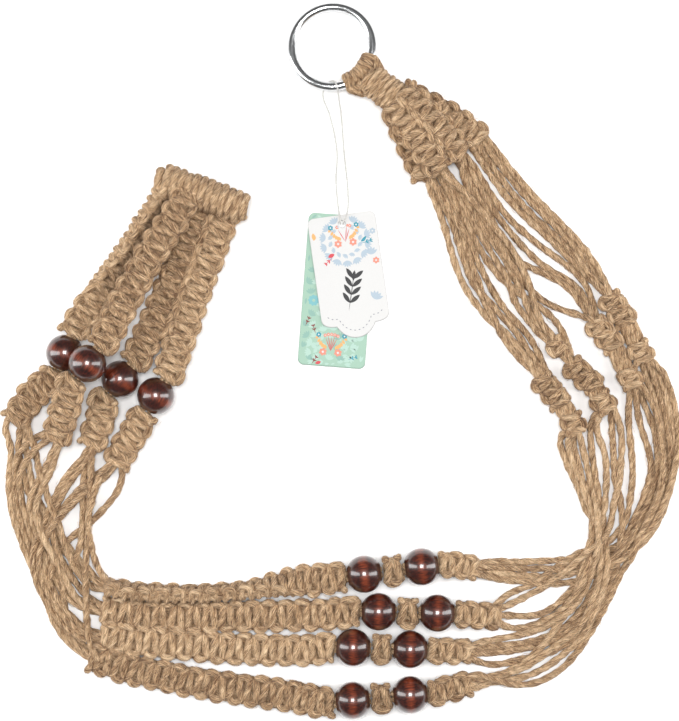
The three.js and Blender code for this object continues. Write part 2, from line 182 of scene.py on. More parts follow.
class Yarns:
    """Collects twisted cords, and the stray fibres on them, into one mesh."""

    def __init__(self):
        self.points, self.faces, self.fibre, self.shade = [], [], [], []
        self.count = 0

    def _tube(self, rings, fibre, shade, closed_ends):
        n, sides = rings.shape[:2]
        base = self.count
        self.points.append(rings.reshape(-1, 3))
        self.fibre.append(fibre.reshape(-1, 3))
        self.shade.append(shade.reshape(-1, 2))
        self.count += n * sides
        row, col = np.meshgrid(np.arange(n - 1), np.arange(sides), indexing="ij")
        after = (col + 1) % sides
        quads = np.stack(
            [row * sides + col, row * sides + after, (row + 1) * sides + after, (row + 1) * sides + col], -1
        )
        self.faces += (quads.reshape(-1, 4) + base).tolist()
        if closed_ends:
            self.faces.append((base + np.arange(sides)[::-1]).tolist())
            self.faces.append((base + (n - 1) * sides + np.arange(sides)).tolist())

    def cord(self, line, radius=CORD / 2, twist=TWIST, hairs=0.34, tone=None, taper=True):
        """A two-ply cord along a line."""
        line = spaced(np.asarray(line, float), RING_STEP * radius / (CORD / 2))
        gaps = np.linalg.norm(np.diff(line, axis=0), axis=1)
        s = np.concatenate([[0], np.cumsum(gaps)])
        tangent = unit(np.gradient(line, axis=0))
        normal = np.zeros_like(line)
        normal[0] = unit(np.cross(tangent[0], [0.31, 0.17, 0.93]))
        for i in range(1, len(line)):
            step = normal[i - 1] - tangent[i] * (normal[i - 1] @ tangent[i])
            normal[i] = step / max(np.linalg.norm(step), 1e-9)
        other = np.cross(tangent, normal)
        turn = 2 * math.pi * s / twist + rng.uniform(0, 2 * math.pi) + wander(s / 9, 0.5)
        angle = ANGLES[None, :] + turn[:, None]
        swell = SWELL + wander(s / 3, UNEVEN)[:, None]
        if taper:
            swell = swell * (1 - END_NARROWS * np.exp(-np.minimum(s, s[-1] - s) / END_LENGTH))[:, None]
        reach = radius * LOBES[None, :] * swell
        reach = reach * (1 + ROUGH * rng.standard_normal(reach.shape))
        rings = (
            line[:, None, :]
            + (reach * np.cos(angle))[..., None] * normal[:, None, :]
            + (reach * np.sin(angle))[..., None] * other[:, None, :]
        )
        rings[..., 2] = np.maximum(rings[..., 2], FLOOR_GAP)
        lay = ANGLES[None, :] + FIBRE_LAY * turn[:, None]
        along = np.broadcast_to(s[:, None] + rng.uniform(0, 400), reach.shape)
        fibre = np.stack([reach * np.cos(lay), reach * np.sin(lay), along], -1)
        tone = rng.uniform(0, 1) if tone is None else tone
        # How deep each point lies in the groove between the two plies; the jute material darkens by it as
        # painted shade.
        groove_shade = np.broadcast_to(1 - np.abs(np.cos(ANGLES)) ** PLY_ROUNDNESS, reach.shape)
        shade = np.stack([np.full(reach.shape, tone), groove_shade], -1)
        self._tube(rings, fibre, shade, True)
        for _ in range(rng.poisson(hairs * s[-1])):
            self._hair(line, normal, other, radius)

    def _hair(self, line, normal, other, radius):
        """A stray fibre that runs beside the cord and lifts off it a little."""
        steps = min(int(rng.integers(3, 9)), len(line))
        first = int(rng.integers(0, len(line) - steps + 1))
        along = first + np.arange(steps)
        if rng.random() < 0.5:
            along = along[::-1]
        t = np.linspace(0, 1, steps)[:, None]
        angle = rng.uniform(0, 2 * math.pi) + rng.uniform(-0.6, 0.6) * t
        out = np.cos(angle) * normal[along] + np.sin(angle) * other[along]
        lift = rng.uniform(0.2, 0.8) * min(2.0, 0.3 * steps)
        path = line[along] + out * (radius * HAIR_START + lift * np.sin(t * rng.uniform(1.4, 2.8)))
        path[:, 2] = np.maximum(path[:, 2], HAIR_FLOOR)
        thick = rng.uniform(0.05, 0.12)
        corner = np.arange(3) / 3 * 2 * math.pi
        cross = unit(np.cross(unit(np.gradient(path, axis=0)), out))
        rings = (
            path[:, None, :]
            + thick * np.cos(corner)[None, :, None] * out[:, None, :]
            + thick * np.sin(corner)[None, :, None] * cross[:, None, :]
        )
        fibre = np.broadcast_to(rings[:, :1] * 0.3, rings.shape)
        shade = np.broadcast_to(np.array([rng.uniform(0.5, 1.0), 0.0]), (*rings.shape[:2], 2))
        self._tube(rings, fibre, shade, False)

    def build(self, name, material):
        mesh = mesh_of(name, np.vstack(self.points), self.faces, material)
        fibre = mesh.attributes.new("fibre", "FLOAT_VECTOR", "POINT")
        fibre.data.foreach_set("vector", np.vstack(self.fibre).astype(np.float32).ravel())
        shade = np.vstack(self.shade).astype(np.float32)
        # Tone is each cord's own colour; the groove value carries painted shade.
        for i, what in enumerate(("tone", "groove_shade")):
            attribute = mesh.attributes.new(what, "FLOAT", "POINT")
            attribute.data.foreach_set("value", np.ascontiguousarray(shade[:, i]))
        mesh.update()
        return in_scene(name, mesh)


# ---- materials ----
class Shader:
    """A new material with helpers for its nodes."""

    def __init__(self, name, **sockets):
        self.material = bpy.data.materials.new(name)
        self.material.use_nodes = True
        self.nodes = self.material.node_tree.nodes
        self.links = self.material.node_tree.links
        self.principled = self.nodes["Principled BSDF"]
        for socket, value in sockets.items():
            self.principled.inputs[socket.replace("_", " ")].default_value = value

    def feed(self, socket, value):
        """Links another node's output to a socket, or sets the socket to a plain value."""
        if isinstance(value, bpy.types.NodeSocket):
            self.links.new(value, socket)
        else:
            socket.default_value = value

    def node(self, kind, **inputs):
        made = self.nodes.new(kind)
        for key, value in inputs.items():
            self.feed(made.inputs[key.replace("_", " ")], value)
        return made

    def attribute(self, name, output):
        made = self.nodes.new("ShaderNodeAttribute")
        made.attribute_name = name
        return made.outputs[output]

    def stretched(self, vector, scale):
        made = self.nodes.new("ShaderNodeMapping")
        made.inputs["Scale"].default_value = scale
        self.links.new(vector, made.inputs["Vector"])
        return made.outputs["Vector"]

    def noise(self, vector, scale, detail=3.0, roughness=0.55):
        made = self.node("ShaderNodeTexNoise", Vector=vector, Scale=scale, Detail=detail, Roughness=roughness)
        return made.outputs["Fac"]

    def ramp(self, value, *stops):
        made = self.nodes.new("ShaderNodeValToRGB")
        elements = made.color_ramp.elements
        while len(elements) < len(stops):
            elements.new(0.5)
        for element, (place, colour) in zip(elements, stops):
            element.position = place
            element.color = (*colour, 1)
        self.links.new(value, made.inputs["Fac"])
        return made.outputs["Color"]

    def math(self, operation, *values):
        made = self.nodes.new("ShaderNodeMath")
        made.operation = operation
        for socket, value in zip(made.inputs, values):
            self.feed(socket, value)
        return made.outputs[0]

    def nudged(self, level, noise, weight):
        """The level, raised where the noise is above its middle and lowered where it is below."""
        return self.math("ADD", level, self.math("MULTIPLY", self.math("SUBTRACT", noise, 0.5), weight))

    def mix(self, blend, factor, a, b):
        made = self.nodes.new("ShaderNodeMix")
        made.data_type = "RGBA"
        made.blend_type = blend
        for slot, value in ((0, factor), (6, a), (7, b)):
            self.feed(made.inputs[slot], (*value, 1) if isinstance(value, tuple) else value)
        return made.outputs[2]

    def bump(self, height, strength, distance):
        made = self.node("ShaderNodeBump", Height=height, Strength=strength, Distance=distance)
        self.links.new(made.outputs["Normal"], self.principled.inputs["Normal"])

    def set(self, socket, value):
        self.links.new(value, self.principled.inputs[socket])


# Colour of the painted shade laid into the groove between a cord's two plies.
GROOVE_SHADE_TINT = (0.42, 0.32, 0.24)


def jute_material(name, base, dark, light):
    shader = Shader(name, Roughness=0.85, Specular_IOR_Level=0.25, Sheen_Weight=0.12, Sheen_Roughness=0.5)
    fibre = shader.attribute("fibre", "Vector")
    tone = shader.attribute("tone", "Fac")
    groove_shade = shader.attribute("groove_shade", "Fac")
    streaks = shader.noise(shader.stretched(fibre, (1, 1, 0.08)), 2.8, 3.0, 0.6)
    threads = shader.noise(shader.stretched(fibre, (1, 1, 0.06)), 5.0, 2.0, 0.6)
    patches = shader.noise(shader.stretched(fibre, (0.2, 0.2, 0.08)), 1.0, 2.0)
    level = shader.math("ADD", shader.math("MULTIPLY", streaks, 0.60), shader.math("MULTIPLY", threads, 0.45))
    level = shader.nudged(level, tone, 0.05)
    level = shader.nudged(level, patches, 0.13)
    colour = shader.ramp(level, (0.44, dark), (0.53, base), (0.63, light))
    # Painted shade: the groove between the plies is darkened toward this tint, standing in for the shade that
    # falls there.
    shaded = shader.math("MULTIPLY", groove_shade, 0.6)
    shader.set("Base Color", shader.mix("MULTIPLY", shaded, colour, GROOVE_SHADE_TINT))
    height = shader.math("ADD", streaks, shader.math("MULTIPLY", threads, 0.8))
    shader.bump(height, 0.9, 0.0013)
    return shader.material


jute = jute_material("jute", (0.660, 0.415, 0.222), (0.150, 0.072, 0.030), (1.000, 0.750, 0.480))


# ---- routes of the strands, in mm, as in the CAD source ----
NECK = [
    [(31.3, 137.7, 5), (39, 120.4, 5), (46.9, 102.7, 5)],
    [(30.8, 138.1, 14.7), (42.4, 123, 14.7), (54.7, 106, 14.7)],
    [(36.8, 145.9, 14.7), (52, 130.4, 14.6), (65.8, 114.9, 9.5)],
    [(36.3, 146.8, 5), (56.9, 136.6, 5), (76.9, 122.7, 5)],
]
NECK_ROLLS = (0, 18, -22, 0)
DOUBLE_KNOTS = [
    ((117.9, -17.8, 4.9), (0.62, -0.78, 0)),
    ((135.7, -8.9, 4.9), (0.72, -0.7, 0)),
    ((147.7, 13.7, 4.9), (0.62, -0.78, 0)),
    ((155, 27.5, 4.9), (0.57, -0.82, 0)),
]
SINGLE_KNOTS = [
    ((129.6, -35.5, 4.9), (0.42, -0.91, 0)),
    ((146.2, -23.9, 4.9), (0.6, -0.8, 0)),
    ((161.1, -10.2, 4.9), (0.5, -0.866, 0)),
    ((167, 4.2, 4.9), (0.5, -0.866, 0)),
]
BEAD_RADIUS, BEAD_BORE = 10.3, 4.3
BEAD_HALF = math.sqrt(BEAD_RADIUS**2 - BEAD_BORE**2)
BEAD_END = BEAD_HALF + 0.35  # where the cords come out, from the bead's middle
BEADED = [  # inner bead, outer bead, end of the strand's knot
    ((13.7, -118.9, 10.4), (45.4, -114.8, 10.4), (73, -115.4, 7.4)),
    ((21.6, -139.7, 10.4), (54.1, -140.4, 10.4), (86.3, -142.5, 7.4)),
    ((7.5, -159.5, 10.4), (39.1, -160.5, 10.4), (69.7, -161.7, 7.4)),
    ((7.3, -188.7, 10.4), (39.1, -185.6, 10.4), (69.8, -180.2, 7.4)),
]
LONG = [
    [(-15.8, -122.4, 8.8), (-34.7, -125.6, 8), (-53, -128.3, 8), (-71.9, -130, 8), (-94.1, -130.2, 8),
     (-113.5, -129, 8), (-124, -127.4, 8)],
    [(0.3, -140.8, 7.5), (-20.8, -142.1, 5), (-41.9, -142.5, 4.8), (-60.8, -142.8, 4.8),
     (-86.3, -143.1, 4.8), (-105.2, -142.4, 4.8), (-126.3, -140, 5)],
    [(-16.4, -161.2, 7), (-26.9, -161.5, 5), (-56.9, -160.6, 4.8), (-86.3, -158.3, 4.8),
     (-110.7, -156.8, 4.8), (-126.3, -154.4, 5)],
    [(-23, -187.4, 6.5), (-41.9, -184.8, 5), (-71.9, -180.9, 4.8), (-94.1, -176.6, 4.8),
     (-116.3, -171.9, 4.8), (-133.5, -166.6, 5)],
]
LONG_ROLLS = [(0, 0, 60, 85, 85, 85, 85, 85), (0,), (0,), (0,)]
BASKET = [  # bead, heading down the strand, lower route, upper route, rolls of the upper braid
    ((-151.8, 3.3, 10.4), (-0.39, -0.92, 0), [(-168.6, -18.3, 5.5), (-180, -33.2, 4.8)],
     [(-139, 28, 7.8), (-122.9, 53.8, 7.8), (-99.8, 89, 7.8)], (0, 0, 50, 75, 75, 75)),
    ((-137.6, -2.5, 24.8), (-0.61, -0.79, 0), [(-150.7, -27.2, 15.5), (-156.8, -43.3, 7.2)],
     [(-107.4, 50.5, 18.5), (-86.5, 84.6, 14.5)], (0,)),
    ((-121.3, -11.1, 10.4), (-0.64, -0.77, 0), [(-132.4, -32.7, 5.5), (-137.4, -46.6, 4.8)],
     [(-96.8, 33.9, 5.2), (-79.4, 82.1, 5)], (0,)),
    ((-101.6, -20.3, 10.4), (-0.51, -0.86, 0), [(-115.2, -42.7, 5.5), (-123.5, -57.1, 4.8)],
     [(-80.6, 33.9, 5.2), (-64.6, 76.7, 5)], (0,)),
]


def beside(place, heading, distance):
    """The point a distance along the heading from a place."""
    return np.array(place, float) + np.array(heading, float) * distance


# ---- free cords, four to a strand, seen from above ----
UPPER_CORDS = [
    [(47, 106), (56, 82), (70, 40), (96, 9), (112, -12)],
    [(48, 106), (61, 81), (78, 38), (99, 14), (114, -10)],
    [(46, 104), (64, 82), (76, 44), (89, 17), (111, -10)],
    [(48, 104), (65, 77), (89, 32), (107, 10), (116, -12)],
    [(53, 108), (83, 54), (97, 39), (121, 20), (130, -3)],
    [(54, 108), (92, 46), (100, 29), (124, 3), (129, -4)],
    [(56, 108), (95, 52), (109, 21), (120, 10), (130, -2)],
    [(54, 106), (68, 94), (98, 57), (105, 42), (112, 20), (124, 6), (130, -4)],
    [(64, 116), (86, 75), (95, 58), (128, 40), (142, 20)],
    [(65, 116), (90, 77), (112, 53), (132, 39), (142, 20)],
    [(66, 116), (93, 80), (108, 66), (136, 43), (144, 20)],
    [(64, 116), (78, 82), (100, 45), (116, 31), (137, 23), (142, 20)],
    [(73, 119), (96, 87), (126, 60), (150, 34)],
    [(75, 121), (100, 88), (123, 64), (150, 34)],
    [(78, 124), (104, 91), (136, 57), (151, 34)],
    [(80, 124), (102, 97), (136, 61), (151, 34)],
]
MIDDLE_CORDS = [
    [(131, -40), (125, -41), (123, -46), (146, -98), (149, -116), (141, -141), (131, -158), (106, -176),
     (68, -179)],
    [(132, -40), (128, -43), (128, -49), (137, -75), (146, -102), (141, -135), (131, -151), (95, -174),
     (69, -181)],
    [(132, -40), (130, -45), (132, -60), (141, -93), (133, -126), (123, -141), (98, -150), (83, -144)],
    [(132, -38), (138, -60), (142, -84), (143, -102), (135, -131), (117, -148), (68, -160)],
    [(148, -28), (142, -32), (140, -39), (143, -70), (146, -89), (137, -114), (130, -128), (112, -142),
     (83, -142)],
    [(149, -28), (144, -32), (143, -39), (148, -54), (147, -82), (135, -119), (127, -138), (114, -158),
     (94, -174), (75, -182), (68, -182)],
    [(151, -28), (154, -66), (158, -95), (144, -139), (131, -155), (103, -168), (83, -170), (68, -164)],
    [(152, -27), (157, -42), (153, -80), (148, -97), (102, -133), (83, -140)],
    [(162, -14), (161, -32), (163, -69), (155, -96), (128, -112), (107, -125), (94, -131), (84, -139)],
    [(164, -14), (167, -34), (174, -63), (160, -100), (147, -118), (136, -138), (124, -151), (106, -158),
     (68, -161)],
    [(165, -14), (176, -42), (177, -62), (167, -92), (152, -116), (142, -136), (130, -150), (114, -158),
     (77, -164), (68, -162)],
    [(166, -13), (177, -30), (180, -62), (175, -82), (152, -126), (137, -156), (123, -173), (105, -181),
     (80, -176), (73, -175), (68, -178)],
    [(168, 0), (182, -54), (164, -100), (131, -112), (107, -113), (72, -114)],
    [(170, 0), (176, -11), (184, -45), (184, -55), (181, -74), (167, -100), (133, -115), (108, -117),
     (72, -115)],
    [(171, 0), (178, -10), (184, -34), (184, -65), (168, -100), (121, -121), (72, -116)],
    [(172, 0), (180, -10), (186, -34), (185, -65), (169, -99), (138, -122), (124, -125), (83, -121),
     (72, -117)],
]
CROSSING_CORDS = [
    [(-174, -31), (-180, -30), (-186, -36), (-183, -50), (-183, -68), (-180, -89), (-161, -135),
     (-152, -153), (-140, -165), (-132, -168)],
    [(-176, -32), (-179, -53), (-168, -86), (-138, -121), (-122, -128)],
    [(-175, -32), (-173, -58), (-166, -81), (-135, -125), (-122, -128)],
    [(-174, -34), (-164, -72), (-147, -114), (-137, -126), (-122, -127)],
    [(-156, -40), (-165, -42), (-178, -53), (-180, -79), (-170, -107), (-150, -149), (-136, -155),
     (-125, -154)],
    [(-156, -41), (-171, -52), (-179, -68), (-178, -78), (-172, -96), (-162, -125), (-152, -142),
     (-139, -152), (-125, -154)],
    [(-155, -42), (-163, -59), (-172, -78), (-172, -96), (-152, -131), (-136, -139), (-125, -140)],
    [(-154, -42), (-160, -59), (-168, -78), (-168, -88), (-160, -108), (-146, -133), (-133, -140),
     (-125, -140)],
    [(-137, -46), (-141, -53), (-156, -72), (-164, -97), (-149, -132), (-134, -139), (-125, -140)],
    [(-136, -46), (-137, -52), (-153, -73), (-159, -99), (-142, -131), (-131, -138), (-125, -140)],
    [(-138, -46), (-142, -65), (-143, -99), (-154, -134), (-146, -157), (-132, -167)],
    [(-137, -46), (-140, -86), (-141, -120), (-138, -159), (-132, -168)],
    [(-123, -56), (-121, -62), (-124, -74), (-145, -96), (-153, -103), (-161, -120), (-160, -135),
     (-148, -156), (-132, -168)],
    [(-124, -56), (-128, -63), (-155, -87), (-167, -111), (-147, -150), (-125, -155)],
    [(-124, -56), (-145, -73), (-170, -109), (-149, -151), (-125, -156)],
    [(-124, -56), (-134, -66), (-140, -94), (-133, -119), (-122, -128)],
]


HELD = 3  # points at each end of a cord that stay where they are
LOOK_EVERY, LOOK_BEYOND = 12, 3  # how often close pairs are looked for, and how far apart they may be
PUSH, SIDEWAYS, OVERDO = 0.35, 0.4, 1.6  # how strongly crossing cords part, mostly upward
SINK, PULL_BACK = 0.08, 0.985  # fall in each round, and the pull back to the traced route


def settle(cords, rounds=240):
    """Lets the cords lie on the floor and on each other, held at their ends, without passing through."""
    start = [cord.copy() for cord in cords]
    sizes = [len(cord) for cord in cords]
    owner = np.repeat(np.arange(len(cords)), sizes)
    place = np.vstack(cords)
    rest = np.vstack(start)
    held = np.concatenate([np.minimum(np.arange(n), np.arange(n)[::-1]) < HELD for n in sizes])
    first = np.concatenate([[0], np.cumsum(sizes)[:-1]])
    inner = np.ones(len(place), bool)
    inner[first] = inner[first + np.array(sizes) - 1] = False
    apart = CORD * 0.9
    for round_number in range(rounds):
        if round_number % LOOK_EVERY == 0:
            flat = place[:, None, :] - place[None, :, :]
            close = (flat**2).sum(-1) < (apart + LOOK_BEYOND) ** 2
            close &= owner[:, None] < owner[None, :]
            pairs = np.nonzero(close)
        a, b = pairs
        gap = place[a] - place[b]
        gap[:, 2] += np.where(np.abs(gap[:, 2]) < 0.3, 0.3 * np.sign(gap[:, 2] + 1e-6), 0)
        far = np.linalg.norm(gap, axis=1)
        push = np.clip(apart - far, 0, None)[:, None] * gap / np.maximum(far, 1e-6)[:, None] * PUSH
        push[:, :2] *= SIDEWAYS
        total = np.zeros_like(place)
        np.add.at(total, a, push)
        np.add.at(total, b, -push)
        crowd = np.zeros(len(place))
        np.add.at(crowd, a, push.any(1))
        np.add.at(crowd, b, push.any(1))
        place += total / np.maximum(crowd, 1)[:, None] * OVERDO
        place[:, 2] -= SINK
        moved = place - rest
        blurred = moved.copy()
        middle = np.nonzero(inner)[0]
        blurred[middle] = 0.5 * moved[middle] + 0.25 * (moved[middle - 1] + moved[middle + 1])
        blurred[:, :2] *= PULL_BACK
        blurred[held] = 0
        place = rest + blurred
        place[:, 2] = np.maximum(place[:, 2], CORD / 2)
    return np.split(place, first[1:])


def add_piece(yarn, name, node, material=None, body="macrame"):
    """Finishes a mesh of cords, which rides on a body and takes the place of a CAD node."""
    piece = yarn.build(name, material or jute)
    if body:
        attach(piece, body)
    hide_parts(node)
    return piece


def laid(route, start_height, end_height, hump, lead):
    """A cord's line over its route seen from above; settle() finds its true heights."""
    x, y = route[0]
    route = [(x + lead[0], y + lead[1]), *route] if any(lead) else route
    line = smooth_line([(x, y, 0) for x, y in route], 2.0)
    share = np.linspace(0, 1, len(line))
    line[:, 2] = start_height * (1 - share) + end_height * share + hump * np.sin(math.pi * share)
    return line


STRAND_END_SPREAD = (0.0, 1.6, -1.2, 2.6)  # heights of a strand's four cords where they enter a knot

# strands in the order of their cords, the heights of both ends, the layer they lie in, and a hidden start
FREE_GROUPS = {
    "upper": (UPPER_CORDS, (1, 2, 3, 4), (5, 13, 9, 5), (4.8, 4.8, 4.8, 4.8), (0, 2.5, 1, 3.5), (-7, 9)),
    "middle": (MIDDLE_CORDS, (1, 2, 3, 4), (4.6, 4.6, 4.6, 4.6), (7, 7, 7, 7), (8, 5, 3.5, 0), (0, 0)),
    "crossing": (CROSSING_CORDS, (4, 3, 2, 1), (4.8, 7.2, 4.8, 4.8), (5, 5, 5, 5.5), (0, 2, 3.5, 5), (0, 0)),
}

free_cords = []
for group, (routes, nodes, start_heights, end_heights, layers, lead) in FREE_GROUPS.items():
    lines = []
    for i, route in enumerate(routes):
        strand, place = divmod(i, 4)
        spread = STRAND_END_SPREAD[place]
        lines.append(
            laid(
                route, start_heights[strand] + spread, end_heights[strand] + spread,
                layers[strand] + 1.5 * place, lead,
            )
        )
    for i, line in enumerate(settle(lines)):
        strand, place = divmod(i, 4)
        line = smooth_line(np.vstack([line[:-1:3], line[-1:]]), 0.7)
        yarn = Yarns()
        yarn.cord(line)
        number = nodes[strand]
        piece = add_piece(yarn, f"{group}_cord_{number}_{'abcd'[place]}", f"{group}_cords_{number}")
        free_cords.append((length_of(line), piece, line))

free_cords.sort(key=lambda entry: -entry[0])


# ---- square-knot braids ----
BAR, EDGE = 4.7, 4.1  # cords over a braid's front and along its edges
KNOT_STEP = 0.04  # points along a cord, as a share of one knot
SNAP = 2.2  # how quickly an edge cord goes from front to back


def straight(yarn, track, start, end, x, z, radius):
    s = np.arange(start, end, 1.0)
    yarn.cord(track.place(s, np.full(len(s), x), np.full(len(s), z)), radius, hairs=0)


def square_knots(yarn, track, width, thick, period, spare=(0, 0)):
    """Square knots: a cord zigzags over the front, and another shows as a lump at each edge in turn."""
    start, end = -spare[0], track.length + spare[1]
    knots = max(2, round((end - start) / (period / 2)))
    step = (end - start) / knots
    t = np.arange(0, knots + 0.01, KNOT_STEP)
    cosine = np.cos(math.pi * t)
    swing = np.sin(2 * math.pi * t)
    bar = min(BAR, step)
    reach = (width - bar) / 2 - 0.7
    x = -reach * np.sign(cosine) * np.abs(cosine) ** 0.7 + wander(t, 0.15)
    z = (thick - bar) / 2 * (1 - 0.95 * np.abs(cosine) ** 3) + wander(t, 0.15)
    s = start + step * (t + 0.05 * swing) + wander(t, 0.18)
    yarn.cord(track.place(s, x, z), bar / 2)
    x = ((width - EDGE) / 2 + 0.7) * np.sign(cosine) * np.abs(cosine) ** 0.5 + wander(t, 0.3)
    z = (thick - EDGE) / 2 * np.tanh(SNAP * np.cos(2 * math.pi * t)) / math.tanh(SNAP) + wander(t, 0.2)
    s = start + step * (t + 0.26 * swing) + wander(t, 0.2)
    yarn.cord(track.place(s, x, z), EDGE / 2)
    for x in (-2.3, 2.3):
        straight(yarn, track, start, end, x, -1.0, 2.5)
    for x in (3.5 - width / 2, width / 2 - 3.5):
        straight(yarn, track, start + 1, end - 1, x, -1.0, 1.9)


def braid_piece(name, node, points, rolls=(0,), width=17.4, thick=9.8, period=9.4, spare=(0, 2.5)):
    yarn = Yarns()
    square_knots(yarn, Track(points, rolls), width, thick, period, spare)
    return add_piece(yarn, name, node)


for i, route in enumerate(NECK):
    braid_piece(
        f"neck_sennit_{i + 1}", f"neck_braid_{i + 1}", route, (NECK_ROLLS[i],), 16.5, 10.4, spare=(3, 3)
    )

EXTRA_KNOT = [(117.2, 10.4, 4.6), (120.5, 7, 4.8), (124, 3.4, 4.6)]  # one more knot above double knot 2
for i, (place, heading) in enumerate(DOUBLE_KNOTS):
    points = [beside(place, heading, -9), beside(place, heading, 0), beside(place, heading, 9)]
    yarn = Yarns()
    square_knots(yarn, Track(points, (20, 20)), 14.5, 9.8, 8.8, (2, 1))
    if i == 1:
        square_knots(yarn, Track(EXTRA_KNOT), 11.5, 9, 8.6)
    add_piece(yarn, f"knot_pair_{i + 1}", f"double_knot_{i + 1}")

for i, (place, heading) in enumerate(SINGLE_KNOTS):
    points = [beside(place, heading, -5), place, beside(place, heading, 5)]
    yarn = Yarns()
    square_knots(yarn, Track(points), 13.5, 9.8, 8.8, (0.5, 1.5))
    above, direction = DOUBLE_KNOTS[i]
    near, far = beside(above, direction, 7), beside(place, heading, -3)
    side = np.cross(UP, unit(far - near))
    for x in (-3.6, -1.3, 1.3, 3.6):
        middle = (near + far) / 2 + side * x
        yarn.cord(smooth_line([near + side * x * 0.8, middle, far + side * x * 0.8], 0.7))
    add_piece(yarn, f"knot_single_{i + 1}", f"single_knot_{i + 1}")


# ---- beads ----
def bead_material():
    shader = Shader(
        "stained_bead", Roughness=0.32, Coat_Weight=1.0, Coat_Roughness=0.06, Specular_IOR_Level=0.5
    )
    place = shader.attribute("bead", "Vector")
    split = shader.node("ShaderNodeSeparateXYZ", Vector=place)
    grain = shader.noise(shader.stretched(place, (7, 7, 0.9)), 2.2, 5.0, 0.6)
    blotch = shader.noise(place, 2.1, 3.0)
    axial = shader.math("ABSOLUTE", split.outputs["Z"])
    edge = shader.nudged(axial, blotch, 0.35)
    band = shader.ramp(edge, (0.04, (1, 1, 1)), (0.30, (0, 0, 0)))
    dark = shader.ramp(grain, (0.38, (0.010, 0.0022, 0.0016)), (0.66, (0.075, 0.013, 0.007)))
    red = shader.ramp(grain, (0.36, (0.050, 0.008, 0.004)), (0.66, (0.260, 0.050, 0.018)))
    shader.set("Base Color", shader.mix("MIX", band, dark, red))
    shader.bump(grain, 0.08, 0.0003)
    return shader.material


stained = bead_material()


LIP = 0.7  # how far a bead's bore rounds over at each mouth


def bead_piece(name, node, place, heading):
    """A bead as a turned profile, with its bore along the heading."""
    rim = math.atan2(BEAD_HALF, BEAD_BORE)
    profile = []
    for angle in np.linspace(-rim + 0.02, rim - 0.02, 40):
        profile.append((BEAD_RADIUS * math.cos(angle), BEAD_RADIUS * math.sin(angle)))
    inner = BEAD_BORE - 0.25
    top = profile[-1][1]
    mouth = profile[0][0] - inner, profile[-1][0] - inner
    for share in np.linspace(0.05, 1, 5):
        profile.append((inner + mouth[1] * (1 - share), top - LIP * share**2))
    for height in np.linspace(top - 0.9, -top + 0.9, 6):
        profile.append((inner, height))
    for share in np.linspace(1, 0.05, 5):
        profile.append((inner + mouth[0] * (1 - share), -top + LIP * share**2))
    profile = np.array(profile)
    turns = 72
    angle = np.arange(turns) / turns * 2 * math.pi
    out, along = profile[:, :1], np.broadcast_to(profile[:, 1:], (len(profile), turns))
    local = np.stack([out * np.cos(angle), out * np.sin(angle), along], -1).reshape(-1, 3)
    axis = unit(np.array(heading, float))
    side = unit(np.cross(UP, axis))
    turn = np.stack([side, np.cross(axis, side), axis])
    mesh = mesh_of(name, local @ turn + np.array(place), closed_grid(len(profile), turns), stained)
    attribute = mesh.attributes.new("bead", "FLOAT_VECTOR", "POINT")
    shift = rng.uniform(0, 20, 3) * np.array([1, 1, 0])
    attribute.data.foreach_set("vector", (local / BEAD_RADIUS + shift).astype(np.float32).ravel())
    piece = in_scene(name, mesh)
    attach(piece, node)
    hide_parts(node)


def through_bead(yarn, place, heading, reach=BEAD_HALF + 1.5):
    """The four cords that pass through a bead."""
    track = Track([beside(place, heading, -reach), beside(place, heading, reach)])
    s = np.arange(0, track.length, 1.0)
    for x, z in ((-1.55, -1.5), (1.55, -1.5), (-1.55, 1.5), (1.55, 1.5)):
        yarn.cord(track.place(s, np.full(len(s), x), np.full(len(s), z)), 1.75, hairs=0)


for i, (inner, outer, knot_end) in enumerate(BEADED):
    heading = unit(np.array(outer) - np.array(inner))
    bead_piece(f"wooden_bead_inner_{i + 1}", f"inner_bead_{i + 1}", inner, heading)
    bead_piece(f"wooden_bead_outer_{i + 1}", f"outer_bead_{i + 1}", outer, heading)
    yarn = Yarns()
    knot_track = Track([beside(outer, heading, BEAD_END), beside(outer, heading, BEAD_END + 3), knot_end])
    square_knots(yarn, knot_track, 14.5, 9.8, 9.2, (0, 3))
    spacer = Track([beside(inner, heading, BEAD_END + 0.8), beside(outer, heading, -BEAD_END - 0.8)])
    square_knots(yarn, spacer, 16.8, 11, 9.5)
    through_bead(yarn, inner, heading)
    through_bead(yarn, outer, heading)
    add_piece(yarn, f"strand_knots_{i + 1}", f"bead_strand_{i + 1}")
    lead = [beside(inner, heading, -BEAD_END - 0.6), beside(inner, heading, -BEAD_END - 3.6)]
    braid_piece(f"long_sennit_{i + 1}", f"long_braid_{i + 1}", [*lead, *LONG[i]], LONG_ROLLS[i], spare=(0, 6))

for i, (place, heading, lower, upper, rolls) in enumerate(BASKET):
    bead_piece(f"wooden_bead_basket_{i + 1}", f"basket_bead_{i + 1}", place, heading)
    down = [beside(place, heading, BEAD_END + 0.6), beside(place, heading, BEAD_END + 3.6)]
    yarn = Yarns()
    square_knots(yarn, Track([*down, *lower]), 16.8, 9.8, 9.4, (0, 2.5))
    through_bead(yarn, place, heading)
    add_piece(yarn, f"basket_lower_sennit_{i + 1}", f"lower_basket_braid_{i + 1}")
    up = [beside(place, heading, -BEAD_END - 0.6), beside(place, heading, -BEAD_END - 3.6)]
    braid_piece(
        f"basket_upper_sennit_{i + 1}", f"upper_basket_braid_{i + 1}", [*up, *upper], rolls, spare=(0, 9)
    )


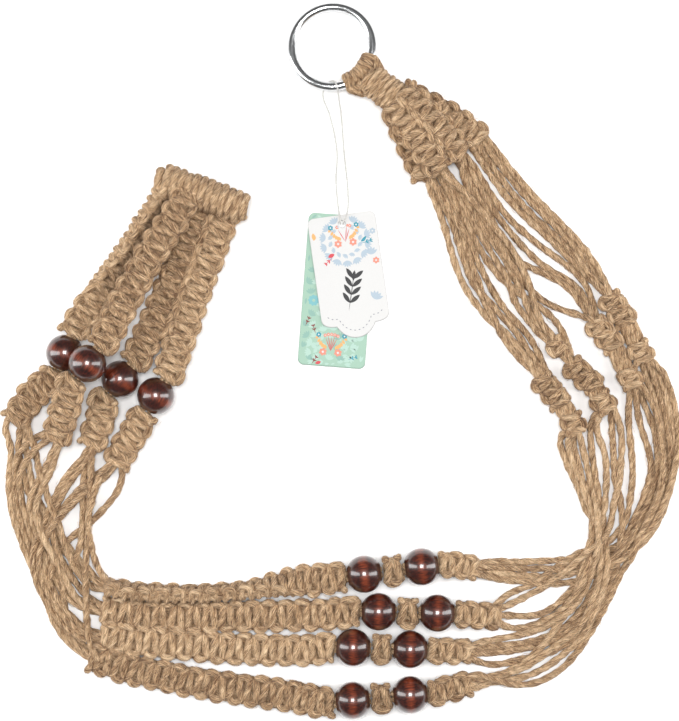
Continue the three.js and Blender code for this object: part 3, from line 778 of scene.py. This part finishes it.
# ---- bar under the basket, and the wrapped neck ----
def wound(yarn, start, end, radii, pitch, cord, rounding):
    """A cord wound round the line from start to end, with radii across and up, smaller at its ends."""
    track = Track([start, end])
    t = np.arange(0, track.length / pitch * 2 * math.pi, 0.12)
    s = t / (2 * math.pi) * pitch
    inset = np.clip(1 - np.minimum(s, track.length - s) / rounding, 0, 1)
    size = np.sqrt(1 - 0.75 * inset**2)
    x = (radii[0] - cord / 2 + wander(t / 6, 0.5)) * size * np.cos(t)
    z = (radii[1] - cord / 2 + wander(t / 6, 0.2)) * size * np.sin(t)
    yarn.cord(track.place(s + wander(t / 5, 0.2), x, z), cord / 2, tone=0.7)
    inside = min(radii) - cord
    for angle in np.arange(0, 2 * math.pi, 1.0):
        x, z = 0.6 * inside * math.cos(angle), 0.6 * inside * math.sin(angle)
        straight(yarn, track, 1, track.length - 1, x, z, 2.4)


yarn = Yarns()
wound(yarn, (-100, 100.5, 9.4), (-51.5, 82.5, 9.4), (9.6, 8.8), 4.1, 4.9, 5)
add_piece(yarn, "gathered_base", "base_knot")

yarn = Yarns()
wound(yarn, (15.6, 155.9, 9.9), (33.6, 142.4, 9.9), (9.4, 9), 2.9, 3.3, 2)
add_piece(yarn, "wrapped_neck", "neck_wrap")

RING_CENTRE = np.array([-4.1, 173.4, 5.292])
RING_RADIUS, RING_WIRE, RING_TILT, RING_ENTRY = 22.5, 2.5, math.radians(7), math.radians(-42.6)
toward_neck = np.array([math.cos(RING_ENTRY), math.sin(RING_ENTRY), 0])
across = np.array([-math.sin(RING_ENTRY), math.cos(RING_ENTRY), 0])
ring_out = toward_neck * math.cos(RING_TILT) + UP * math.sin(RING_TILT)
ring_up = np.cross(ring_out, across)


def ring_point(angle, radius=RING_RADIUS):
    """A point on the ring, with the angle measured from the neck."""
    return RING_CENTRE + radius * (math.cos(angle) * ring_out + math.sin(angle) * across)


LOOPS, LOOP_CORD, LOOP_FAN = 8, 3.3, math.radians(50)
BUNDLE_WIDTH, BUNDLE_HALF_HEIGHT = 15.5, 6  # of the loops where the wrap takes them
yarn = Yarns()
for k in range(LOOPS):
    place = k / (LOOPS - 1) - 0.5
    angle = place * LOOP_FAN
    out = math.cos(angle) * ring_out + math.sin(angle) * across
    centre = ring_point(angle)
    sideways = place * BUNDLE_WIDTH
    spot = ring_point(0) + ring_out * 9 + across * sideways
    height = math.sqrt(1 - (sideways / 9.5) ** 2) * BUNDLE_HALF_HEIGHT
    path = [spot + ring_up * height]
    for turn in np.radians([40, 75, 110, 145, 180, 215, 250, 285, 320]):
        path.append(centre + (RING_WIRE + LOOP_CORD / 2) * (math.cos(turn) * out + math.sin(turn) * ring_up))
    path.append(spot - ring_up * height)
    yarn.cord(smooth_line(path, 0.7), LOOP_CORD / 2)
piece = add_piece(yarn, "cord_loops", "ring_loops", body=None)
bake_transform(piece)


# ---- tag thread and paper tags ----
def cotton_material():
    shader = Shader("cotton_thread", Roughness=0.8, Sheen_Weight=0.2, Specular_IOR_Level=0.3)
    fibre = shader.attribute("fibre", "Vector")
    strands = shader.noise(shader.stretched(fibre, (1, 1, 0.2)), 9.0, 3.0)
    shader.set("Base Color", shader.ramp(strands, (0.35, (0.36, 0.36, 0.34)), (0.6, (0.70, 0.69, 0.66))))
    shader.bump(strands, 0.5, 0.0002)
    return shader.material


THREAD = 0.9
THREAD_ROUTE = [
    (0.6, 75.2, 0.9), (0.6, 75.5, 2.1), (0.5, 77, 3), (-0.8, 85.5, 2.6), (-1.9, 99.3, 1.2),
    (-1.4, 116, 0.9), (-5.3, 135.4, 1.2), (-9.2, 146, 2.6), (-8.6, 150, 3.9), (-6.2, 153.4, 5.2),
    (-4, 154.1, 7.2), (-2.4, 153.2, 9.4), (-1.4, 151, 10.3), (-0.8, 147.8, 9.4), (-0.2, 143, 6.2),
    (0.8, 137.1, 3), (2.5, 116, 0.9), (4.7, 93.8, 2), (4.7, 83.8, 2.9), (3.4, 78.4, 3), (2.2, 76.4, 2.9),
    (2.1, 75.5, 2.1), (2.1, 75.2, 0.9),
]
thread_line = smooth_line(THREAD_ROUTE, 0.5)
yarn = Yarns()
yarn.cord(thread_line, THREAD / 2, twist=2.6, hairs=0)
piece = add_piece(yarn, "hang_thread", "tag_string", cotton_material(), body=None)
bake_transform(piece)

TAG_PLACE = (1.4, 75.2)
TAG_HOLE, TAG_THICK, TAG_CORNER = 2.0, 0.5, 3.5
TAG_RIM, TAG_HALF = 5.2, 18.8  # top edge above the hole, and half the width
BEVEL, BEVEL_DEEP = 0.2, 0.1  # on the card's cut edges
PRINT_MARGIN, HOLE_MARGIN = 0.6, 0.4
INK_LIFT, LAYER_LIFT, SHAPE_LIFT = 0.02, 0.03, 0.003  # shapes of ink lie just above each other
MINT, WHITE = (0.310, 0.475, 0.375), (0.620, 0.615, 0.605)
PALE, TEAL = (0.370, 0.450, 0.520), (0.030, 0.260, 0.340)
CORAL, ORANGE = (0.680, 0.240, 0.170), (0.700, 0.370, 0.130)
RED, WINE = (0.560, 0.050, 0.065), (0.200, 0.035, 0.030)
GREY, DARK = (0.230, 0.240, 0.270), (0.018, 0.018, 0.020)


def card_material(name):
    shader = Shader(name, Roughness=0.55, Specular_IOR_Level=0.4)
    paper = shader.noise(shader.node("ShaderNodeTexCoord").outputs["Object"], 2600.0, 3.0)
    shade = shader.ramp(paper, (0.3, (0.95, 0.95, 0.95)), (0.7, (1, 1, 1)))
    # The point colours hold the paper, the print, and the painted shade on the card's cut edges.
    shader.set("Base Color", shader.mix("MULTIPLY", 1.0, shader.attribute("ink", "Color"), shade))
    shader.bump(paper, 0.12, 0.0002)
    return shader.material


def arc(centre, radius, start, end, steps=8):
    """Points on an arc between two angles, in degrees."""
    turns = np.radians(np.linspace(start, end, steps))
    return [(centre[0] + radius * math.cos(a), centre[1] + radius * math.sin(a)) for a in turns]


def bend(start, control, end, steps=8):
    """Points on a quadratic curve, without its first."""
    t = np.linspace(0, 1, steps + 1)[1:, None]
    a, b, c = np.array(start), np.array(control), np.array(end)
    return [tuple(p) for p in (1 - t) ** 2 * a + 2 * t * (1 - t) * b + t**2 * c]


class Card:
    """A card tag with its print: flat shapes of ink on the card, in layers that lie just above each other."""

    def __init__(self, outline, paper, low):
        self.points, self.faces, self.inks, self.low = [], [], [], low
        # The cut edges, bevels and underside get a painted shade, half the paper's colour, so the card's rim
        # shows darker.
        edge = tuple(0.5 * value for value in paper)
        hole = arc((0, 0), TAG_HOLE, 0, 345, 24)
        loops = [np.array(outline), np.array(hole)]
        inset = [loops[0] * (1 - BEVEL / 20), loops[1] * (1 + BEVEL / TAG_HOLE)]
        levels = [(inset, 0), (loops, BEVEL_DEEP), (loops, TAG_THICK - BEVEL_DEEP), (inset, TAG_THICK)]
        sizes = [len(loop) for loop in loops]
        for shapes, height in levels:
            for shape in shapes:
                self._add([(x, y, height) for x, y in shape], paper if height == TAG_THICK else edge)
        layer = sum(sizes)
        offset = 0
        for size in sizes:
            for level in range(len(levels) - 1):
                for i in range(size):
                    a, b = offset + level * layer + i, offset + level * layer + (i + 1) % size
                    self.faces.append((a, b, b + layer, a + layer))
            offset += size
        corners = [[Vector((x, y, 0)) for x, y in shape] for shape in inset]
        for a, b, c in tessellate_polygon(corners):
            self.faces.append((c, b, a))
            self.faces.append(tuple(corner + 3 * layer for corner in (a, b, c)))

    def _add(self, points, ink):
        self.points += points
        self.inks += [(*ink, 1.0)] * len(points)

    def shape(self, outline, ink, layer):
        """Prints a flat shape, unless it would run off the card or over its hole."""
        x, y = np.array(outline).T
        if abs(x).max() > TAG_HALF - PRINT_MARGIN or np.hypot(x, y).min() < TAG_HOLE + HOLE_MARGIN:
            return
        if y.min() < self.low + PRINT_MARGIN or y.max() > TAG_RIM - PRINT_MARGIN:
            return
        first = len(self.points)
        height = TAG_THICK + INK_LIFT + LAYER_LIFT * layer + SHAPE_LIFT * (len(self.faces) % 9)
        self._add([(x, y, height) for x, y in outline], ink)
        self.faces.append(tuple(range(first, len(self.points))))

    def leaf(self, at, angle, length, width, ink, layer=0, curve=0.0):
        """A leaf that starts at a point and runs toward an angle in degrees, bent sideways by the curve."""
        t = np.concatenate([np.linspace(0, 1, 7), np.linspace(1, 0, 7)[1:-1]])
        side = np.concatenate([np.ones(7), -np.ones(5)])
        across = side * width / 2 * np.sin(math.pi * t) ** 0.8 + curve * length * t**2
        cos, sin = math.cos(math.radians(angle)), math.sin(math.radians(angle))
        x, y = at[0] + length * t * cos - across * sin, at[1] + length * t * sin + across * cos
        self.shape(list(zip(x, y)), ink, layer)

    def fan(self, at, angle, size, ink, layer=0):
        for turn in (-48, -24, 0, 24, 48):
            self.leaf(at, angle + turn, size, size * 0.34, ink, layer)

    def flower(self, at, size, ink, heart, petals=6, layer=2):
        for k in range(petals):
            self.leaf(at, 360 * k / petals + 20, size, size * 0.75, ink, layer)
        self.shape(arc(at, size * 0.28, 0, 330, 10), heart, layer + 1)

    def sprig(self, at, angle, length, pairs, ink, layer=1):
        self.leaf(at, angle, length, 0.45, ink, layer)
        cos, sin = math.cos(math.radians(angle)), math.sin(math.radians(angle))
        for k in range(pairs):
            reach = length * (k + 1) / (pairs + 0.4)
            spot = (at[0] + reach * cos, at[1] + reach * sin)
            for turn in (-42, 42):
                self.leaf(spot, angle + turn, length * 0.36, length * 0.12, ink, layer)
        tip = (at[0] + length * 0.85 * cos, at[1] + length * 0.85 * sin)
        self.leaf(tip, angle, length * 0.3, length * 0.1, ink, layer)

    def posy(self, at, fans):
        """The flower group of both tags: fans round it, two curved plumes, stems and flowers."""
        x, y = at
        for k in range(14):
            angle = math.radians(360 * k / 14 + 10)
            self.fan((x + 11 * math.cos(angle), y + 11 * math.sin(angle)), 360 * k / 14 + 10, 3.9, fans)
            self.fan((x + 7.6 * math.cos(angle), y + 7.6 * math.sin(angle)), 360 * k / 14 - 30, 2.4, fans)
        for side in (-1, 1):
            for k in range(6):
                spot = (x + side * (2.6 + 1.25 * k), y + 0.4 + 0.22 * k**2)
                self.leaf(spot, 90 - side * (20 - 14 * k), 2.6, 1.5, ORANGE, 1)
            self.flower((x + side * 4.2, y - 1.2), 2.3, CORAL, WHITE)
            self.flower((x + side * 7.2, y + 8.2), 1.6, TEAL, WHITE)
        for k in range(5):
            angle = 66 + 12 * k
            self.leaf((x, y - 0.5), angle, 8.0 + (k % 2), 0.4, RED, 1)
            tip = math.radians(angle)
            self.flower((x + 8.8 * math.cos(tip), y + 8.8 * math.sin(tip)), 1.1, CORAL, WHITE, 5)

    def finish(self, name, node, turn, height):
        cos, sin = math.cos(math.radians(turn)), math.sin(math.radians(turn))
        local = np.array(self.points)
        x = TAG_PLACE[0] + local[:, 0] * cos - local[:, 1] * sin
        y = TAG_PLACE[1] + local[:, 0] * sin + local[:, 1] * cos
        points = np.stack([x, y, local[:, 2] + height], -1)
        mesh = mesh_of(name, points, self.faces, card_material(f"{name}_card"), smooth=False)
        # These point colours include the painted shade on the cut edges.
        colour = mesh.attributes.new("ink", "FLOAT_COLOR", "POINT")
        colour.data.foreach_set("color", np.array(self.inks, np.float32).ravel())
        piece = in_scene(name, mesh)
        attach(piece, node)
        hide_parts(node)


BACK_LOW, FRONT_LOW = -79.8, -63.8  # lower edges of the tags, from their holes


def back_outline(half=TAG_HALF, low=BACK_LOW):
    x, top, bottom = half - TAG_CORNER, TAG_RIM - TAG_CORNER, low + TAG_CORNER
    return [
        *arc((-x, bottom), TAG_CORNER, 180, 270), *arc((x, bottom), TAG_CORNER, 270, 360),
        *arc((x, top), TAG_CORNER, 0, 90), *arc((-x, top), TAG_CORNER, 90, 180),
    ]


def front_foot(half=19, shoulder=-51.5, notch=-56.5, foot=FRONT_LOW):
    """The lower edge of the front tag, from left to right."""
    step = 0.57 * half
    return [
        (-half, shoulder), *bend((-half, shoulder), (-half, notch), (-step, notch)),
        *bend((-step, notch), (-0.36 * half, foot), (0, foot)),
        *bend((0, foot), (0.36 * half, foot), (step, notch)),
        *bend((step, notch), (half, notch), (half, shoulder)),
    ]


def front_outline(half=19):
    x, top = half - TAG_CORNER, TAG_RIM - TAG_CORNER
    return [*front_foot(), *arc((x, top), TAG_CORNER, 0, 90), *arc((-x, top), TAG_CORNER, 90, 180)]


back = Card(back_outline(), MINT, BACK_LOW)
PALE_LEAF, DEEP_MINT = (0.390, 0.560, 0.480), (0.230, 0.400, 0.340)
for k in range(84):
    x, y = -17 + 6 * (k % 6) + 3 * (k // 6 % 2), 2 - 6 * (k // 6)
    back.fan((x, y), 90 + 50 * math.sin(k * 2.4), 3.6, PALE_LEAF if k % 3 else DEEP_MINT)
for x, y, angle in ((-11, -34, 40), (-16, -58, 70), (-10, -62, 110), (-11, -79, 60)):
    back.sprig((x, y), angle, 5, 2, WINE)
back.flower((-12.5, -43.5), 3.2, (0.170, 0.420, 0.450), MINT, 9)
back.leaf((11, -61), 0, 5, 2.6, TEAL, 2, 0.25)
back.sprig((9, -75), 20, 5, 2, TEAL, 2)
back.leaf((-9, -78.5), 20, 3.4, 1.8, RED, 2)
back.posy((-1, -70.5), PALE_LEAF)
back.finish("mint_tag", "tag_back", -4.4, 0.3)

front = Card(front_outline(), WHITE, FRONT_LOW)
front.posy((0.5, -9.5), PALE)
front.leaf((-17, -7), 70, 4, 2.4, ORANGE, 1, 0.3)
front.leaf((-6.5, -16), 200, 4, 2.2, RED, 2)
front.sprig((-8, -18), 215, 5, 2, RED)
front.sprig((9.5, -12), 10, 5.5, 2, TEAL, 2)
front.leaf((9, -11), 20, 4.2, 1.8, TEAL, 2, 0.3)
front.fan((13.5, -19), 80, 4.6, PALE)
front.flower((16, -22.5), 2, CORAL, WHITE)
front.flower((16.2, -6), 1.8, PALE, WHITE)
front.fan((12.2, -44), 60, 5, PALE)
front.sprig((-3, -48.5), 74, 20, 4, DARK)
foot = smooth_line([(x * 0.86, y + 4.2, 0) for x, y in front_foot()[2:-2]], 0.5)
for start in range(2, len(foot) - 3, 5):
    x, y, _ = foot[start]
    across_x, across_y, _ = foot[start + 2] - foot[start]
    front.leaf((x, y), math.degrees(math.atan2(across_y, across_x)), 1.25, 0.5, GREY, 1)
front.finish("white_tag", "tag_front", 8.1, 1.15)


# ---- steel ring ----
def steel_material():
    shader = Shader("plated_steel", Base_Color=(0.72, 0.73, 0.74, 1), Metallic=1.0, Roughness=0.12)
    place = shader.node("ShaderNodeTexCoord").outputs["Object"]
    wear = shader.noise(place, 700.0, 4.0)
    shader.set("Roughness", shader.math("MULTIPLY_ADD", wear, 0.16, 0.12))
    shader.bump(wear, 0.03, 0.0002)
    return shader.material


def ring_mesh():
    around, section = 192, 32
    points = []
    for i in range(around):
        angle = i / around * 2 * math.pi
        out = math.cos(angle) * ring_out + math.sin(angle) * across
        for j in range(section):
            turn = j / section * 2 * math.pi
            points.append(ring_point(angle) + RING_WIRE * (math.cos(turn) * out + math.sin(turn) * ring_up))
    return mesh_of("steel_ring", np.array(points), closed_grid(around, section), steel_material())


ring = in_scene("steel_ring", ring_mesh())
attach(ring, "ring")
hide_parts("hanging_ring")

# ---- floor and light ----
floor_mesh = bpy.data.meshes.new("floor")
FLOOR = 3  # half its width, in metres
corners = [(-FLOOR, -FLOOR, 0), (FLOOR, -FLOOR, 0), (FLOOR, FLOOR, 0), (-FLOOR, FLOOR, 0)]
floor_mesh.from_pydata(corners, [], [(0, 1, 2, 3)])
floor_shader = Shader("floor", Base_Color=(0.96, 0.955, 0.95, 1), Roughness=0.9, Specular_IOR_Level=0.1)
floor_mesh.materials.append(floor_shader.material)
floor = in_scene("floor", floor_mesh)


def area_light(name, place, size, power, target=(0, 0, 0)):
    light = bpy.data.lights.new(name, "AREA")
    light.shape = "RECTANGLE"
    light.size, light.size_y = size
    light.energy = power
    holder = in_scene(name, light)
    holder.location = place
    holder.rotation_euler = (Vector(target) - Vector(place)).to_track_quat("-Z", "Y").to_euler()


area_light("overhead", (0, 0.1, 1.5), (0.5, 0.5), 17)
area_light("left_box", (-1.1, 0, 0.5), (0.4, 1.8), 15)
area_light("right_box", (1.1, 0, 0.5), (0.4, 1.8), 15)

world = bpy.data.worlds.new("world")
bpy.context.scene.world = world
world.use_nodes = True
background = world.node_tree.nodes["Background"]
background.inputs["Color"].default_value = (1, 1, 1, 1)
background.inputs["Strength"].default_value = 0.13
bpy.context.scene.view_settings.view_transform = "Standard"
